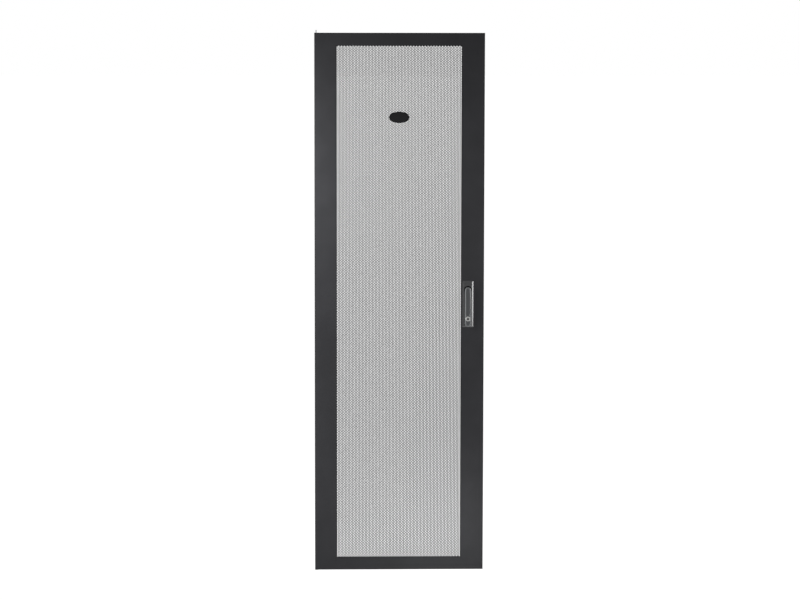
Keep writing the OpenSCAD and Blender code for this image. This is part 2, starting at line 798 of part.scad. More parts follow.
module rod_guides() {
    color("#8d9094") for (share = guide_shares) {
        rod_guide(handle_x + rod_x, spindle_z + share * (rod_top_z - spindle_z));
        rod_guide(handle_x - rod_x, spindle_z + share * (rod_bottom_z - spindle_z));
    }
}

// how far the oval plate's front lies behind its middle at a distance r from it
function crown_drop(r) = let (crown_r = (oval_w * oval_w / 4 + crown * crown) / (2 * crown))
    crown_r - sqrt(crown_r * crown_r - r * r);

// crowned oval plate, bare, stuck to the front of the panel
module oval_plate() {
    reach = oval_w / 2 + over;
    rings = 8;
    color("#141417") translate([(win_x0 + win_x1) / 2, skin_y, high_z - oval_down]) intersection() {
        translate([0, -oval_t, 0]) along_y(oval_t)
            polygon([for (a = [0 : 5 : 355]) [oval_w / 2 * cos(a), oval_h / 2 * sin(a)]]);
        rotate([90, 0, 0]) rotate_extrude($fn = 180) polygon(concat([[0, 0], [reach, 0]],
            [for (i = [rings : -1 : 0]) [reach * i / rings, oval_t - crown_drop(reach * i / rings)]]));
    }
}

// threaded stud on a round foot, welded to the lower cross brace
module earth_stud() {
    foot_t = 1;
    chamfer = 1;
    tip_y = stud_l - chamfer;
    color("#c9a24a")
        translate([left_x + stud_in, skin_y + cross_d, (win_z0 - panel_lap + low_z + sheet_t) / 2]) {
            bar_y(stud_d, foot_t);
            translate([0, foot_t, 0]) bar_y(stud_d / 2, tip_y - foot_t);
            translate([0, tip_y, 0]) rotate([-90, 0, 0])
                cylinder(d1 = stud_d, d2 = stud_d - 2 * chamfer, h = chamfer);
        }
}

// rubber buffers on the back lips, near the four corners
module buffers() {
    inset = (lip_w + 1) / 2;
    chamfer = 1;
    color("#1c1c1e") for (x = [left_x + inset, right_x - inset], z = [low_z + buffer_in, high_z - buffer_in])
        translate([x, back_y, z]) rotate([-90, 0, 0]) {
            cylinder(d = buffer_d, h = buffer_t - chamfer);
            translate([0, 0, buffer_t - chamfer])
                cylinder(d1 = buffer_d, d2 = buffer_d - 2 * chamfer, h = chamfer);
        }
}

front_sheet();
top_edge();
bottom_edge();
hinge_edge();
latch_edge();
perforated_panel();
hinge_upright();
latch_upright();
upper_cross_brace();
lower_cross_brace();
upper_hinge_bracket();
hinge_pin();
hinge_pin_clip();
hinge_spring();
lower_hinge_bracket();
lower_hinge_bush();
handle_base();
upper_retainer();
lower_retainer();
retainer_screws();
spindle();
lever();
lever_pin();
lock_barrel();
lock_plug();
lock_tongue();
lock_tongue_screw();
crank();
crank_pins();
crank_screw();
upper_rod();
lower_rod();
rod_guides();
oval_plate();
earth_stud();
buffers();
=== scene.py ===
"""Looks of a perforated rack door: fine punched sheet, coats and metals, plain white studio and camera."""

import json
import logging
import math
from dataclasses import dataclass, field
from enum import Enum, IntEnum
from typing import Sequence

import bpy
import numpy as np
from mathutils import Matrix, Vector

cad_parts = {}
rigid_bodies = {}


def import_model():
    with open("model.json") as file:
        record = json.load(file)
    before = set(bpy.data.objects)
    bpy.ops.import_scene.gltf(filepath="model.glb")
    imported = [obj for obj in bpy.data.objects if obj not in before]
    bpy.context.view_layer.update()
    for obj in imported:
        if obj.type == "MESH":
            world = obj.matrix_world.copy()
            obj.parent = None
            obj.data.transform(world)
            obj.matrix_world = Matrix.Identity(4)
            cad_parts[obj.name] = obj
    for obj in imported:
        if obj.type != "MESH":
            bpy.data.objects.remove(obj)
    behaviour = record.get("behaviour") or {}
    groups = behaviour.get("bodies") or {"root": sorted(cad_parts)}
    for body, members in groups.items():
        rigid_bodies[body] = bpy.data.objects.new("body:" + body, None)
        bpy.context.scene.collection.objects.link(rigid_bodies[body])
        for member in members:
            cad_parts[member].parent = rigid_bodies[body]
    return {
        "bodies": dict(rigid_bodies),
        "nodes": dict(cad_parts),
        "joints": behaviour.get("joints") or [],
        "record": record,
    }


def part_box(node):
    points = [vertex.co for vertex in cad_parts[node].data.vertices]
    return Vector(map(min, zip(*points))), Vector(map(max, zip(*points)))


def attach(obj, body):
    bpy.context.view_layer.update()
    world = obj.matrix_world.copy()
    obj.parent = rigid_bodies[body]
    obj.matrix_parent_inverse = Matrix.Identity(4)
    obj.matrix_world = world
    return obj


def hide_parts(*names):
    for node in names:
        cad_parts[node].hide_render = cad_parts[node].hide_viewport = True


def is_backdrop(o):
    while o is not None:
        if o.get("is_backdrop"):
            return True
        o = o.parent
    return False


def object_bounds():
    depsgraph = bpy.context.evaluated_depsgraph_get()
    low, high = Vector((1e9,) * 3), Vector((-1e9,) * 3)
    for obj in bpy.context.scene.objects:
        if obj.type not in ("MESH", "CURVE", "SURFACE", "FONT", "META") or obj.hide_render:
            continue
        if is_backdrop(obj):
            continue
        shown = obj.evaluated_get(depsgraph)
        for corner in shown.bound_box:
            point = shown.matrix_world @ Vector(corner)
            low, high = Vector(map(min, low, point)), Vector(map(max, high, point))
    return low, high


LOG = logging.getLogger("rack_door")
MM = 0.001
WHITE = (1, 1, 1, 1)

# Most of a noise's values lie between these two.
NOISE_LOW = 0.35
NOISE_HIGH = 0.65

# Columns of a point on the sheet, which is held as x and z.
ACROSS = 0
UP = 1


class Slot(Enum):
    """The record's material slots."""

    FRAME = "frame_coat"
    PANEL = "panel_coat"
    BRACE = "brace_coat"
    ZINC = "zinc_plate"
    STEEL = "bright_steel"
    SPRING = "spring_steel"
    NYLON = "bush_nylon"
    HANDLE = "handle_cast"
    LEVER = "lever_cast"
    NICKEL = "lock_nickel"
    OVAL = "oval_black"
    BRASS = "stud_brass"
    RUBBER = "buffer_rubber"


class Body(Enum):
    """The moving bodies that pieces of this script ride on."""

    DOOR = "door"


class Corner(IntEnum):
    """The corners of a six-sided hole, counted round from the right."""

    RIGHT = 0
    UPPER_RIGHT = 1
    UPPER_LEFT = 2
    LEFT = 3
    LOWER_LEFT = 4
    LOWER_RIGHT = 5


class Nodes:
    """Builder of one material's shader nodes."""

    def __init__(self, name: str) -> None:
        """Starts a material with an empty surface shader.

        Args:
            name: Name of the material.
        """
        self.material = bpy.data.materials.new(name)
        self.material.use_nodes = True
        self.tree = self.material.node_tree
        self.shader = self.tree.nodes["Principled BSDF"]

    def add(self, kind: str, **values: object) -> bpy.types.Node:
        """Adds a node and sets its plain properties.

        Args:
            kind: Blender's name of the node type.
            **values: Properties of the node.

        Returns:
            The new node.
        """
        node = self.tree.nodes.new(kind)
        for key, value in values.items():
            setattr(node, key, value)
        return node

    def join(self, source: bpy.types.NodeSocket, target: bpy.types.NodeSocket) -> None:
        """Links two sockets."""
        self.tree.links.new(source, target)

    def place(self) -> bpy.types.NodeSocket:
        """Returns the socket with the point on the object, in metres."""
        return self.add("ShaderNodeTexCoord").outputs["Object"]

    def noise(self, scale: float, detail: float, stretch: Sequence[float] = (1, 1, 1)
              ) -> bpy.types.NodeSocket:
        """Adds noise over the object.

        Args:
            scale: Waves in each metre.
            detail: Octaves of finer noise.
            stretch: How much closer the waves lie along each axis.

        Returns:
            The socket with the noise, from 0 to 1.
        """
        mapping = self.add("ShaderNodeMapping")
        mapping.inputs["Scale"].default_value = stretch
        self.join(self.place(), mapping.inputs["Vector"])
        noise = self.add("ShaderNodeTexNoise")
        noise.inputs["Scale"].default_value = scale
        noise.inputs["Detail"].default_value = detail
        self.join(mapping.outputs["Vector"], noise.inputs["Vector"])
        return noise.outputs["Fac"]

    def spread(self, factor: bpy.types.NodeSocket, low: float, high: float) -> bpy.types.NodeSocket:
        """Maps the middle of a noise to a range of values.

        Args:
            factor: The noise, from 0 to 1.
            low: Value where the noise is low.
            high: Value where the noise is high.

        Returns:
            The socket with the mapped value.
        """
        node = self.add("ShaderNodeMapRange")
        node.inputs["From Min"].default_value = NOISE_LOW
        node.inputs["From Max"].default_value = NOISE_HIGH
        node.inputs["To Min"].default_value = low
        node.inputs["To Max"].default_value = high
        self.join(factor, node.inputs["Value"])
        return node.outputs["Result"]

    def tint(self, factor: bpy.types.NodeSocket, dark: Sequence[float], light: Sequence[float]) -> None:
        """Colours the surface between two colours.

        Args:
            factor: Share of the light colour.
            dark: Colour at 0, as red, green and blue.
            light: Colour at 1.
        """
        mix = self.add("ShaderNodeMix", data_type="RGBA")
        mix.inputs["A"].default_value = (*dark, 1)
        mix.inputs["B"].default_value = (*light, 1)
        self.join(factor, mix.inputs["Factor"])
        self.join(mix.outputs["Result"], self.shader.inputs["Base Color"])

    def repaint(self, mask: bpy.types.NodeSocket, color: Sequence[float], roughness: float,
                shadow: bool = False) -> None:
        """Lays another colour and roughness over the part of the surface that a mask picks.

        Args:
            mask: 1 where the surface changes.
            color: The colour there.
            roughness: The roughness there.
            shadow: Whether the part is painted shadow in a gap; it is then made metallic with its dark
                colour, so it mirrors nothing.
        """
        # Painted shadow: a metallic near-black surface mirrors nothing and stays black.
        if shadow:
            self.join(mask, self.shader.inputs["Metallic"])
        for name, kind, value in (("Base Color", "RGBA", (*color, 1)), ("Roughness", "FLOAT", roughness)):
            target = self.shader.inputs[name]
            mix = self.add("ShaderNodeMix", data_type=kind)
            self.join(target.links[0].from_socket, mix.inputs["A"])
            mix.inputs["B"].default_value = value
            self.join(mask, mix.inputs["Factor"])
            self.join(mix.outputs["Result"], target)

    def axes(self) -> bpy.types.NodeOutputs:
        """Returns the sockets with the point's x, y and z on the object."""
        split = self.add("ShaderNodeSeparateXYZ")
        self.join(self.place(), split.inputs["Vector"])
        return split.outputs

    def math(self, operation: str, *values: object) -> bpy.types.NodeSocket:
        """Adds a sum on sockets and numbers.

        Args:
            operation: Blender's name of the operation.
            *values: Sockets or numbers.

        Returns:
            The socket with the result.
        """
        node = self.add("ShaderNodeMath", operation=operation)
        for i, value in enumerate(values):
            if isinstance(value, (int, float)):
                node.inputs[i].default_value = value
            else:
                self.join(value, node.inputs[i])
        return node.outputs[0]

    def capsule(self, middle_x: float, low_z: float, high_z: float, radius: float, blur: float
                ) -> bpy.types.NodeSocket:
        """Returns a mask that is 1 inside an upright slot-shaped outline on the door's front.

        Args:
            middle_x: Where the slot's middle line stands.
            low_z: Lower end of the middle line.
            high_z: Upper end of the middle line.
            radius: Distance from the middle line to the outline.
            blur: Distance over which the mask falls.

        Returns:
            The socket with the mask.
        """
        place = self.axes()
        across = self.math("SUBTRACT", place["X"], middle_x)
        off_middle = self.math("ABSOLUTE", self.math("SUBTRACT", place["Z"], (low_z + high_z) / 2))
        past_end = self.math("MAXIMUM", self.math("SUBTRACT", off_middle, (high_z - low_z) / 2), 0.0)
        squares = [self.math("MULTIPLY", value, value) for value in (across, past_end)]
        distance = self.math("SQRT", self.math("ADD", *squares))
        return self.math("SUBTRACT", 1.0, self.step(distance, radius, blur))

    def step(self, value: bpy.types.NodeSocket, edge: float, blur: float) -> bpy.types.NodeSocket:
        """Returns a mask that rises from 0 to 1 as a value passes an edge.

        Args:
            value: The value.
            edge: Where the mask is half way.
            blur: Distance over which it rises.

        Returns:
            The socket with the mask.
        """
        node = self.add("ShaderNodeMapRange", interpolation_type="SMOOTHSTEP")
        node.inputs["From Min"].default_value = edge - blur / 2
        node.inputs["From Max"].default_value = edge + blur / 2
        self.join(value, node.inputs["Value"])
        return node.outputs["Result"]

    def bump(self, height: bpy.types.NodeSocket, strength: float, distance: float) -> None:
        """Raises the surface by a height.

        Args:
            height: The height, from 0 to 1.
            strength: Share of the bump that is used.
            distance: Metres that a height of 1 stands up.
        """
        node = self.add("ShaderNodeBump")
        node.inputs["Strength"].default_value = strength
        node.inputs["Distance"].default_value = distance
        self.join(height, node.inputs["Height"])
        self.join(node.outputs["Normal"], self.shader.inputs["Normal"])


def shade(color: Sequence[float], factor: float) -> tuple[float, float, float]:
    """Returns a colour made lighter or darker by a factor."""
    return tuple(channel * factor for channel in color)


@dataclass(frozen=True)
class Finish:
    """Surface whose tone drifts with a broad noise, and whose gloss and height follow a fine one."""

    name: str
    color: tuple[float, float, float]
    roughness: float = 0.5
    specular: float = 0.5
    metallic: float = 0.0
    drift_scale: float = 9.0
    drift_detail: float = 2.0
    darker: float = 0.08
    lighter: float = 0.08
    grain: float = 900.0
    grain_detail: float = 3.0
    stretch: tuple[float, float, float] = (1.0, 1.0, 1.0)
    smoother: float = 0.06
    rougher: float = 0.08
    strength: float = 0.2
    height: float = 0.02 * MM

    def make(self) -> bpy.types.Material:
        """Returns the finish's material."""
        nodes = Nodes(self.name)
        shader = nodes.shader
        shader.inputs["Metallic"].default_value = self.metallic
        shader.inputs["Specular IOR Level"].default_value = self.specular
        broad = nodes.noise(self.drift_scale, self.drift_detail)
        fine = nodes.noise(self.grain, self.grain_detail, self.stretch)
        nodes.tint(nodes.spread(broad, 0.0, 1.0),
                   shade(self.color, 1 - self.darker), shade(self.color, 1 + self.lighter))
        nodes.join(nodes.spread(fine, self.roughness - self.smoother, self.roughness + self.rougher),
                   shader.inputs["Roughness"])
        nodes.bump(fine, self.strength, self.height)
        self.mark(nodes)
        return nodes.material

    def mark(self, nodes: Nodes) -> None:
        """Leaves the surface alike all over; some finishes repaint a part of it."""


@dataclass(frozen=True)
class Coat(Finish):
    """Powder coat or enamel over metal, with a fine orange-peel texture."""

    grain_detail: float = 4.0
    smoother: float = 0.05
    rougher: float = 0.07
    strength: float = 0.4
    height: float = 0.03 * MM


@dataclass(frozen=True, kw_only=True)
class FoldShadeCoat(Coat):
    """Coat with painted shade and a duller gloss on the bends where the sheet turns back from its front
    face.
    """

    front: float
    bend_from: float = 0.3 * MM
    bend_to: float = 1.4 * MM
    # Painted shade: share of the colour that is left on the bends.
    painted_bend_shade: float = 0.2
    bend_roughness: float = 0.9
    blur: float = 0.1 * MM

    def mark(self, nodes: Nodes) -> None:
        """Paints shade on a narrow band behind the front face, where the bends turn away from the lamps."""
        depth = nodes.axes()["Y"]
        behind = nodes.step(depth, self.front + self.bend_from, self.blur)
        past = nodes.step(depth, self.front + self.bend_to, self.blur)
        # The band between the two steps gets the painted shade.
        band = nodes.math("SUBTRACT", behind, past)
        nodes.repaint(band, shade(self.color, self.painted_bend_shade), self.bend_roughness)


@dataclass(frozen=True, kw_only=True)
class CapsuleCoat(Coat):
    """Coat that changes inside an upright slot-shaped part of the surface; it paints the shadow round the
    lever and the highlight on the lever's rims.
    """

    middle_x: float
    low_z: float
    high_z: float
    radius: float
    inner: tuple[float, float, float]
    inner_roughness: float
    blur: float = 0.4 * MM
    shadow: bool = False

    def mark(self, nodes: Nodes) -> None:
        """Repaints the points that lie within the radius of the slot's middle line."""
        inside = nodes.capsule(self.middle_x, self.low_z, self.high_z, self.radius, self.blur)
        nodes.repaint(inside, self.inner, self.inner_roughness, self.shadow)


@dataclass(frozen=True)
class Metal(Finish):
    """Bare or plated metal with fine marks along one axis."""

    metallic: float = 1.0
    drift_scale: float = 45.0
    drift_detail: float = 3.0
    darker: float = 0.12
    lighter: float = 0.06
    grain: float = 260.0
    stretch: tuple[float, float, float] = (8.0, 8.0, 0.4)
    smoother: float = 0.07
    rougher: float = 0.09
    strength: float = 0.15


@dataclass(frozen=True, kw_only=True)
class LockMetal(Metal):
    """Plated metal whose face is a bright ring round a darker plug."""

    middle_x: float
    middle_z: float
    radius: float
    plug: tuple[float, float, float] = (0.06, 0.06, 0.06)
    plug_roughness: float = 0.25
    blur: float = 0.4 * MM

    def mark(self, nodes: Nodes) -> None:
        """Darkens the plug's face."""
        inside = nodes.capsule(self.middle_x, self.middle_z, self.middle_z, self.radius, self.blur)
        nodes.repaint(inside, self.plug, self.plug_roughness)


@dataclass(frozen=True)
class Moulded(Finish):
    """Plastic or rubber with a fine moulded grain."""

    drift_scale: float = 60.0
    darker: float = 0.1
    grain: float = 1500.0


@dataclass
class Finishes:
    """Every finish on the door, made once and looked up by slot."""

    painted_shadow_reach: float = 3.3 * MM
    rim_highlight_from: float = 6.3 * MM
    plug_rim: float = 1.0 * MM
    made: dict[Slot, bpy.types.Material] = field(default_factory=dict)

    def build(self) -> "Finishes":
        """Makes the materials and returns this object."""
        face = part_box("front_sheet")[0].y
        table: dict[Slot, Finish] = {
            Slot.FRAME: FoldShadeCoat("frame_powder_coat_fold_shade", (0.03, 0.03, 0.0325), specular=0.12, front=face),
            Slot.PANEL: Coat("panel_powder_coat", (0.03, 0.03, 0.032), specular=0.12),
            Slot.BRACE: Coat("brace_powder_coat", (0.028, 0.028, 0.03), roughness=0.55, specular=0.15),
            Slot.ZINC: Metal("zinc_plating", (0.55, 0.56, 0.57), roughness=0.36),
            Slot.STEEL: Metal("turned_steel", (0.62, 0.63, 0.64), roughness=0.26),
            Slot.SPRING: Metal("spring_wire", (0.42, 0.43, 0.45), roughness=0.3),
            Slot.NYLON: Moulded("natural_nylon", (0.78, 0.77, 0.72), roughness=0.4),
            Slot.OVAL: Moulded("oval_gloss_black", (0.006, 0.006, 0.007), roughness=0.2, specular=0.15,
                               strength=0.04),
            Slot.BRASS: Metal("yellow_passivated_steel", (0.62, 0.46, 0.2), roughness=0.3),
            Slot.RUBBER: Moulded("buffer_rubber", (0.018, 0.018, 0.019), roughness=0.75),
        }
        table.update(self.handle_table())
        for slot, finish in table.items():
            self.made[slot] = finish.make()
        return self

    def handle_table(self) -> dict[Slot, Finish]:
        """Returns the handle's finishes, with their painted shadow, painted highlight and plug marks placed
        from the lever and the lock.
        """
        low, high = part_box("lever")
        plug_low, plug_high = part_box("lock_plug")
        middle_x = (low.x + high.x) / 2
        reach = (high.x - low.x) / 2
        spindle_z = high.z - reach
        return {
            # Painted shadow: the handle is painted near-black round the lever's top end, in the gap where
            # shade falls.
            Slot.HANDLE: CapsuleCoat("handle_enamel_gap_shadow", (0.022, 0.0225, 0.024), roughness=0.2,
                                     darker=0.05, lighter=0.05, grain=700.0, strength=0.02,
                                     middle_x=middle_x, low_z=spindle_z, high_z=spindle_z,
                                     radius=reach + self.painted_shadow_reach, inner=(0.002, 0.002, 0.0022),
                                     inner_roughness=0.8, shadow=True),
            # Painted highlight: the lever is painted lighter outside the groove's radius, on its rims; the
            # groove keeps the darker tone.
            Slot.LEVER: CapsuleCoat("lever_enamel_rim_highlight", (0.13, 0.135, 0.14), roughness=0.3,
                                    darker=0.05, lighter=0.05, grain=700.0, strength=0.03,
                                    middle_x=middle_x, low_z=low.z + reach, high_z=spindle_z,
                                    radius=self.rim_highlight_from, inner=(0.04, 0.042, 0.045),
                                    inner_roughness=0.35),
            Slot.NICKEL: LockMetal("nickel_plating", (0.42, 0.42, 0.41), roughness=0.15,
                                   darker=0.04, lighter=0.02, middle_x=middle_x,
                                   middle_z=(plug_low.z + plug_high.z) / 2,
                                   radius=(plug_high.x - plug_low.x) / 2 - self.plug_rim),
        }

    def dress(self, obj: bpy.types.Object, slot: Slot) -> None:
        """Gives an object one finish all over.

        Args:
            obj: The object to dress.
            slot: The finish's slot.
        """
        materials = obj.data.materials
        materials.clear()
        materials.append(self.made[slot])


@dataclass
class MeshParts:
    """Points and faces of one mesh while it is being put together."""

    points: list[np.ndarray] = field(default_factory=list)
    faces: list[list[int]] = field(default_factory=list)

    def to_object(self, name: str) -> bpy.types.Object:
        """Makes the mesh object.

        Args:
            name: Name of the new object.

        Returns:
            The object, linked to the scene.
        """
        mesh = bpy.data.meshes.new(name)
        mesh.from_pydata(np.concatenate(self.points).tolist(), [], self.faces)
        mesh.update()
        obj = bpy.data.objects.new(name, mesh)
        bpy.context.scene.collection.objects.link(obj)
        return obj


@dataclass
class PunchedSheet:
    """The perforated panel with all its punched holes, in strips that meet along a row of holes.

    The holes stand in upright columns, and each second column is shifted up by half the pitch. Each
    hole owns the three bars of metal that run up from it to its neighbours and the two corners of metal
    between those bars.
    """

    column: float = 5.05 * MM
    hole: float = 4.43 * MM
    strips: int = 5
    lap: float = 7.0 * MM
    low: Vector = field(init=False)
    high: Vector = field(init=False)
    pitch: float = field(init=False)
    columns: int = field(init=False)
    rows: int = field(init=False)
    start_x: float = field(init=False)
    start_z: float = field(init=False)

    def build(self) -> list[bpy.types.Object]:
        """Builds the strips over the whole panel.

        Returns:
            The strips, from the lowest up.
        """
        self.lay_out()
        cuts = [round(i * self.rows / self.strips) for i in range(self.strips + 1)]
        return [self.strip(i, cuts[i], cuts[i + 1]) for i in range(self.strips)]

    def lay_out(self) -> None:
        """Works out how many holes the panel takes and where the first one stands."""
        self.low, self.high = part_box("perforated_panel")
        self.pitch = 2 * self.column / math.sqrt(3)
        room_x = self.high.x - self.low.x - 2 * self.lap - self.hole
        room_z = self.high.z - self.low.z - 2 * self.lap - self.hole - self.pitch / 2
        self.columns = 2 * int(room_x / self.column / 2) + 1
        self.rows = int(room_z / self.pitch) + 1
        self.start_x = (self.low.x + self.high.x - (self.columns - 1) * self.column) / 2
        self.start_z = (self.low.z + self.high.z - (self.rows - 0.5) * self.pitch) / 2

    def strip(self, index: int, first: int, last: int) -> bpy.types.Object:
        """Builds the rows from first up to last.

        Args:
            index: Number of the strip, from the lowest.
            first: First row of the strip.
            last: Row after the strip's last one.

        Returns:
            The strip's object.
        """
        top = last == self.rows
        rows = np.arange(first, last if top else last + 1)
        turn = np.arange(len(Corner)) * 2 * math.pi / len(Corner)
        col, row = np.meshgrid(np.arange(self.columns), rows)
        x = self.start_x + col * self.column
        z = self.start_z + (row + (col % 2) / 2) * self.pitch
        ring_x = x[:, :, None] + np.cos(turn) * self.hole / 2
        ring_z = z[:, :, None] + np.sin(turn) * self.hole / 2
        number = np.arange(ring_x.size).reshape(ring_x.shape)
        points = np.column_stack([ring_x.ravel(), ring_z.ravel()])
        faces = self.metal(number, last - first)
        border = self.border(points, number, last - first, first == 0, top)
        flat = np.concatenate([points] + [extra for extra, _ in border])
        start = len(points)
        for extra, shapes in border:
            faces += [[i if i >= 0 else start - 1 - i for i in shape] for shape in shapes]
            start += len(extra)
        parts = MeshParts()
        for y in (self.low.y, self.high.y):
            parts.points.append(np.column_stack([flat[:, 0], np.full(len(flat), y), flat[:, 1]]))
        parts.faces += faces
        parts.faces += [[i + len(flat) for i in reversed(face)] for face in faces]
        parts.faces += self.walls(number[:last - first], len(flat))
        return parts.to_object(f"punched_sheet_{index + 1}")

    def walls(self, number: np.ndarray, offset: int) -> list[list[int]]:
        """Returns the walls of the holes.

        Args:
            number: Numbers of the holes' points, by row, column and corner.
            offset: What is added to a front point's number to reach the back one.

        Returns:
            The faces, six to a hole.
        """
        here = number.reshape(-1, len(Corner))
        after = np.roll(here, -1, axis=1)
        return np.stack([after, here, here + offset, after + offset], axis=2).reshape(-1, 4).tolist()

    def metal(self, number: np.ndarray, owned: int) -> list[list[int]]:
        """Returns the bars and corners of metal between the holes.

        Args:
            number: Numbers of the holes' points, by row, column and corner.
            owned: How many of the rows own their bars.

        Returns:
            The faces of the front.
        """
        height, width, _ = number.shape
        faces: list[list[int]] = []
        for odd in (0, 1):
            row, col = (grid.ravel() for grid in np.mgrid[0:owned, odd:width:2])
            above = row + 1 < height
            beside = row + odd < height
            right = beside & (col + 1 < width)
            left = beside & (col > 0)
            shapes = [
                (above, [(0, 0, Corner.UPPER_LEFT), (0, 0, Corner.UPPER_RIGHT),
                         (1, 0, Corner.LOWER_RIGHT), (1, 0, Corner.LOWER_LEFT)]),
                (right, [(0, 0, Corner.RIGHT), (odd, 1, Corner.LOWER_LEFT),
                         (odd, 1, Corner.LEFT), (0, 0, Corner.UPPER_RIGHT)]),
                (left, [(0, 0, Corner.UPPER_LEFT), (odd, -1, Corner.RIGHT),
                        (odd, -1, Corner.LOWER_RIGHT), (0, 0, Corner.LEFT)]),
                (above & right, [(0, 0, Corner.UPPER_RIGHT), (odd, 1, Corner.LEFT),
                                 (1, 0, Corner.LOWER_RIGHT)]),
                (above & left, [(0, 0, Corner.UPPER_LEFT), (1, 0, Corner.LOWER_LEFT),
                                (odd, -1, Corner.RIGHT)]),
            ]
            for mask, outline in shapes:
                steps = [(row[mask] + up, col[mask] + across, corner) for up, across, corner in outline]
                faces += np.column_stack([number[step] for step in steps]).tolist()
        return faces

    def border(self, points: np.ndarray, number: np.ndarray, owned: int, bottom: bool, top: bool
               ) -> list[tuple[np.ndarray, list[list[int]]]]:
        """Returns the plain metal between the outer holes and the sheet's edges.

        Args:
            points: The holes' points, as x and z.
            number: Their numbers, by row, column and corner.
            owned: How many of the rows own their bars.
            bottom: Whether the strip is the lowest.
            top: Whether the strip is the highest.

        Returns:
            For each edge, its new points and its faces; a face's negative numbers count the new points
            from -1 down.
        """
        lower = (Corner.LOWER_LEFT, Corner.LOWER_RIGHT)
        upper = (Corner.UPPER_LEFT, Corner.UPPER_RIGHT)
        whole_lower = (Corner.LEFT, *lower, Corner.RIGHT)
        whole_upper = (Corner.LEFT, *upper, Corner.RIGHT)
        columns = range(number.shape[1])
        left = number[:owned, 0, [Corner.LOWER_LEFT, Corner.LEFT, Corner.UPPER_LEFT]].ravel().tolist()
        right = number[:owned, -1, [Corner.LOWER_RIGHT, Corner.RIGHT, Corner.UPPER_RIGHT]].ravel().tolist()
        if not top:
            left.append(number[owned, 0, Corner.LOWER_LEFT])
            right.append(number[owned, -1, Corner.LOWER_RIGHT])
        edges = [self.edge(points, left, ACROSS, self.low.x, True),
                 self.edge(points, right, ACROSS, self.high.x, False)]
        if bottom:
            line = [number[0, c, corner] for c in columns for corner in (lower if c % 2 else whole_lower)]
            edges.append(self.edge(points, line[1:-1], UP, self.low.z, False, self.low.x, self.high.x))
        if top:
            line = [number[-1, c, corner] for c in columns for corner in (whole_upper if c % 2 else upper)]
            edges.append(self.edge(points, line, UP, self.high.z, True, self.low.x, self.high.x))
        return edges

    def edge(self, points: np.ndarray, line: list[int], axis: int, value: float, flip: bool,
             *ends: float) -> tuple[np.ndarray, list[list[int]]]:
        """Joins a line of points to a straight edge of the sheet.

        Args:
            points: The holes' points, as x and z.
            line: Numbers of the line's points, in order.
            axis: ACROSS for an upright edge, UP for a level one.
            value: Where the edge lies on that axis.
            flip: Whether each face runs along the line first, and back along the edge.
            *ends: For a level edge, where the sheet ends on the left and on the right.

        Returns:
            The new points and the faces.
        """
        inner = points[line]
        outer = inner.copy()
        outer[:, axis] = value
        extra = outer
        inside = [int(i) for i in line]
        outside = [-1 - i for i in range(len(line))]
        if ends:
            places = [(x, z) for x, end in zip(ends, (0, -1)) for z in (inner[end, UP], value)]
            extra = np.concatenate([outer, np.array(places)])
            first = -1 - len(line)
            inside = [first] + inside + [first - 2]
            outside = [first - 1] + outside + [first - 3]
        faces = []
        for a, b, c, d in zip(inside, inside[1:], outside[1:], outside):
            faces.append([a, b, c, d] if flip else [d, c, b, a])
        return extra, faces

    def dress(self, finishes: Finishes, strips: list[bpy.types.Object]) -> None:
        """Finishes the strips and lets them stand for the panel.

        Args:
            finishes: The door's finishes.
            strips: The strips that build() made.
        """
        for strip in strips:
            finishes.dress(strip, Slot.PANEL)
            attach(strip, Body.DOOR.value)
            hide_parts("perforated_panel")


@dataclass
class PlainNodes:
    """The solids that are shown as they are, each with its finish."""

    finishes: Finishes

    def dress(self, frame: dict) -> None:
        """Gives each solid the finish of its slot in the record.
        """
        for row in frame["record"]["subparts"]:
            slot = Slot(row["material_slot"])
            self.finishes.dress(frame["nodes"][row["node"]], slot)


@dataclass(frozen=True)
class Lamp:
    """One soft lamp, placed from a side edge of the door's front sheet.

    Lengths are in metres and the power in watts. Heights are shares of the front sheet's height.
    """

    name: str
    power: float
    size: tuple[float, float]
    outward: float
    away: float
    height: float
    inward: float
    aim_height: float
    right: bool = True
    behind: bool = False

    def build(self) -> None:
        """Places the lamp outward of the edge and away from the sheet, and points it inward of the edge."""
        low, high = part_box("front_sheet")
        edge, side = (high.x, 1) if self.right else (low.x, -1)
        sheet, out = (high.y, 1) if self.behind else (low.y, -1)
        rise = high.z - low.z
        place = Vector((edge + side * self.outward, sheet + out * self.away, low.z + self.height * rise))
        target = Vector((edge - side * self.inward, sheet, low.z + self.aim_height * rise))
        data = bpy.data.lights.new(self.name, "AREA")
        data.shape = "RECTANGLE"
        data.size, data.size_y = self.size
        data.energy = self.power
        obj = bpy.data.objects.new(self.name, data)
        bpy.context.scene.collection.objects.link(obj)
        obj.location = place
        obj.rotation_euler = (target - place).to_track_quat("-Z", "Y").to_euler()


LAMPS = (
    Lamp("upper_left", power=7.6, size=(0.4, 0.4), outward=0.37, away=0.39, height=0.75,
         inward=0.05, aim_height=0.75, right=False),
    Lamp("left_strip", power=7.2, size=(0.3, 1.33), outward=0.44, away=0.29, height=0.21,
         inward=0.05, aim_height=0.21, right=False),
    Lamp("right_strip", power=7.6, size=(0.2, 0.7), outward=0.8, away=0.52, height=0.575,
         inward=0.057, aim_height=0.575),
    Lamp("rear_side", power=30, size=(0.6, 1.5), outward=2.0, away=1.5, height=0.55,
         inward=0.3, aim_height=0.6, behind=True),
    Lamp("low_right", power=2.5, size=(0.4, 0.4), outward=-0.1, away=0.44, height=0.015,
         inward=0.1, aim_height=0.015),
)


